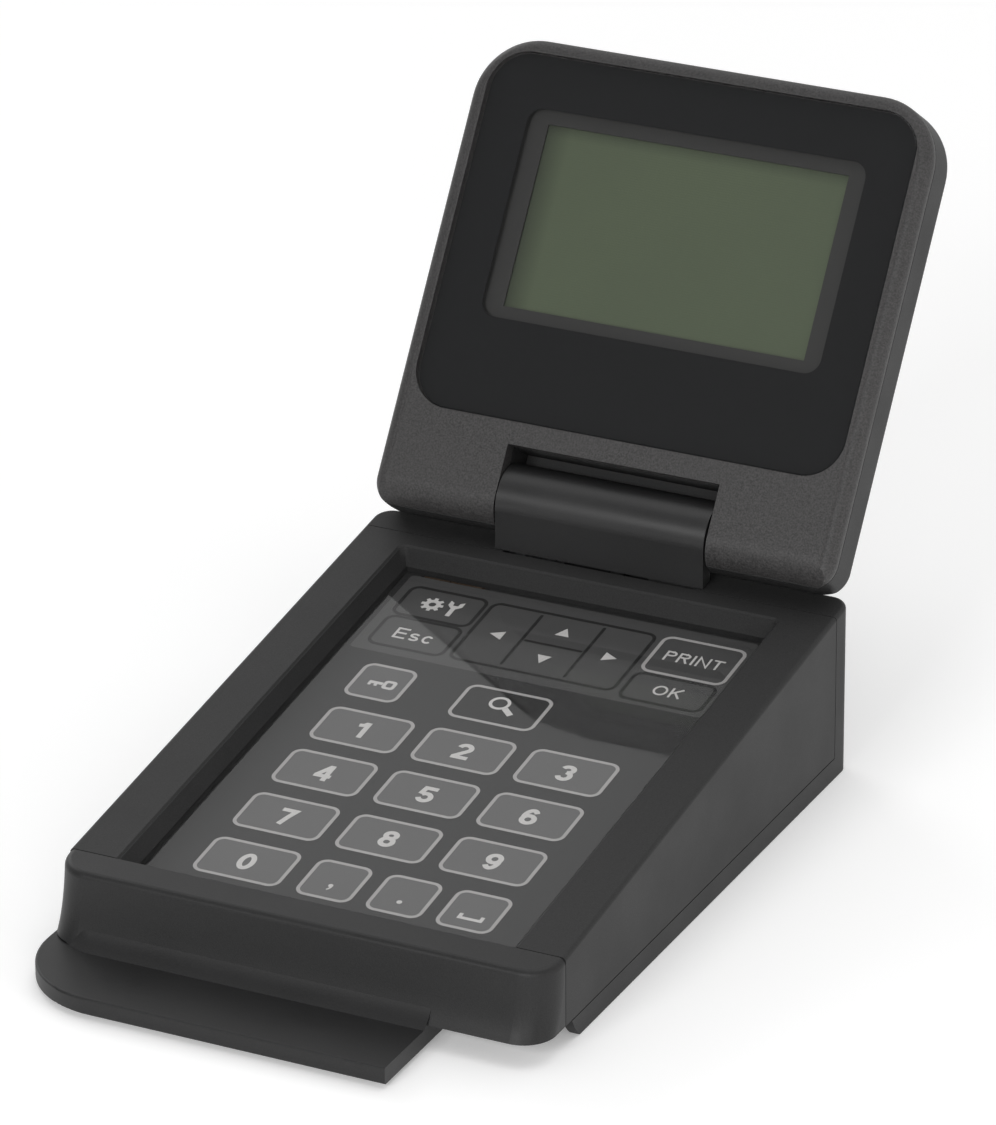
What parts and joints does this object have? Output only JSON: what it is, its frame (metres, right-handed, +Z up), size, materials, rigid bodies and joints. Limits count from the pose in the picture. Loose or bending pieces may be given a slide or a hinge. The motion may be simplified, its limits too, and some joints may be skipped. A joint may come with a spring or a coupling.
{
  "type": "label maker control unit",
  "caption": "Sloped keypad base with a flat touch panel over a printed key sheet and a hinged display that folds down over it.",
  "frame": {"origin": "middle of the flat underside of the lower housing, on the plane the unit rests on", "axes": "+X to the right of a person at the keypad, +Y from the front cover towards the hinge, +Z up from the underside"},
  "size_m": [0.108, 0.223, 0.1281],
  "materials": {
    "black_housing_plastic": "fine grained moulding",
    "grey_housing_plastic": "fine grained moulding",
    "charcoal_display_plastic": "coarser grained moulding",
    "panel_glass": "polished",
    "window_plastic": "polished clear window over a dark print",
    "screen_glass": "green-grey liquid crystal cell",
    "printed_sheet": "printed key legends on a film",
    "circuit_board": "soldermask over glass-fibre",
    "black_component": "moulded packages",
    "capacitor_can": "drawn can",
    "connector_plastic": "ivory connector moulding",
    "steel": "zinc plated",
    "painted_frame": "black paint over a pressed steel frame",
    "brass": "turned",
    "contact_metal": "plated contacts",
    "flex_film": "amber flexible circuit",
    "cable_jacket": "sleeved wires",
    "diffuser_plastic": "light guide",
    "bearing_plastic": "natural bearing resin"
  },
  "bodies": {
    "base": {"upper_housing": "black_housing_plastic", "front_cover": "grey_housing_plastic", "lower_housing": "black_housing_plastic", "mounting_inserts": "brass", "housing_screws": "steel", "main_board": "circuit_board", "main_board_screws": "steel", "board_chips": "black_component", "board_capacitors": "capacitor_can", "buzzer": "black_component", "board_sockets": "connector_plastic", "host_socket": "black_component", "host_contacts": "contact_metal", "touch_panel_glass": "panel_glass", "key_sheet": "printed_sheet", "touch_panel_tail": "flex_film", "hinge_knuckle_cover": "grey_housing_plastic", "hinge_bracket": "steel", "harness_side_bearing": "bearing_plastic", "hinge_bracket_screws": "steel", "display_harness_base": "cable_jacket"},
    "display": {"lid_front_frame": "charcoal_display_plastic", "lid_rear_cover": "black_housing_plastic", "display_window": "window_plastic", "window_mask": "black_component", "screen_frame": "painted_frame", "screen_glass": "screen_glass", "backlight": "diffuser_plastic", "display_board": "circuit_board", "display_chips": "black_component", "display_socket": "connector_plastic", "display_board_screws": "steel", "lid_screws": "steel", "hinge_leaf": "steel", "hinge_leaf_screws": "steel", "hinge_shaft": "steel", "friction_discs": "steel", "shaft_nut": "steel", "harness_side_bush": "bearing_plastic", "display_harness_lid": "cable_jacket"}
  },
  "joints": [
    {"name": "display_hinge", "type": "hinge", "parent": "base", "child": "display", "pos_m": [0, 0.0648, 0.0456], "axis": [1, 0, 0], "range_deg": [-13.5, 131.5]}
  ]
}
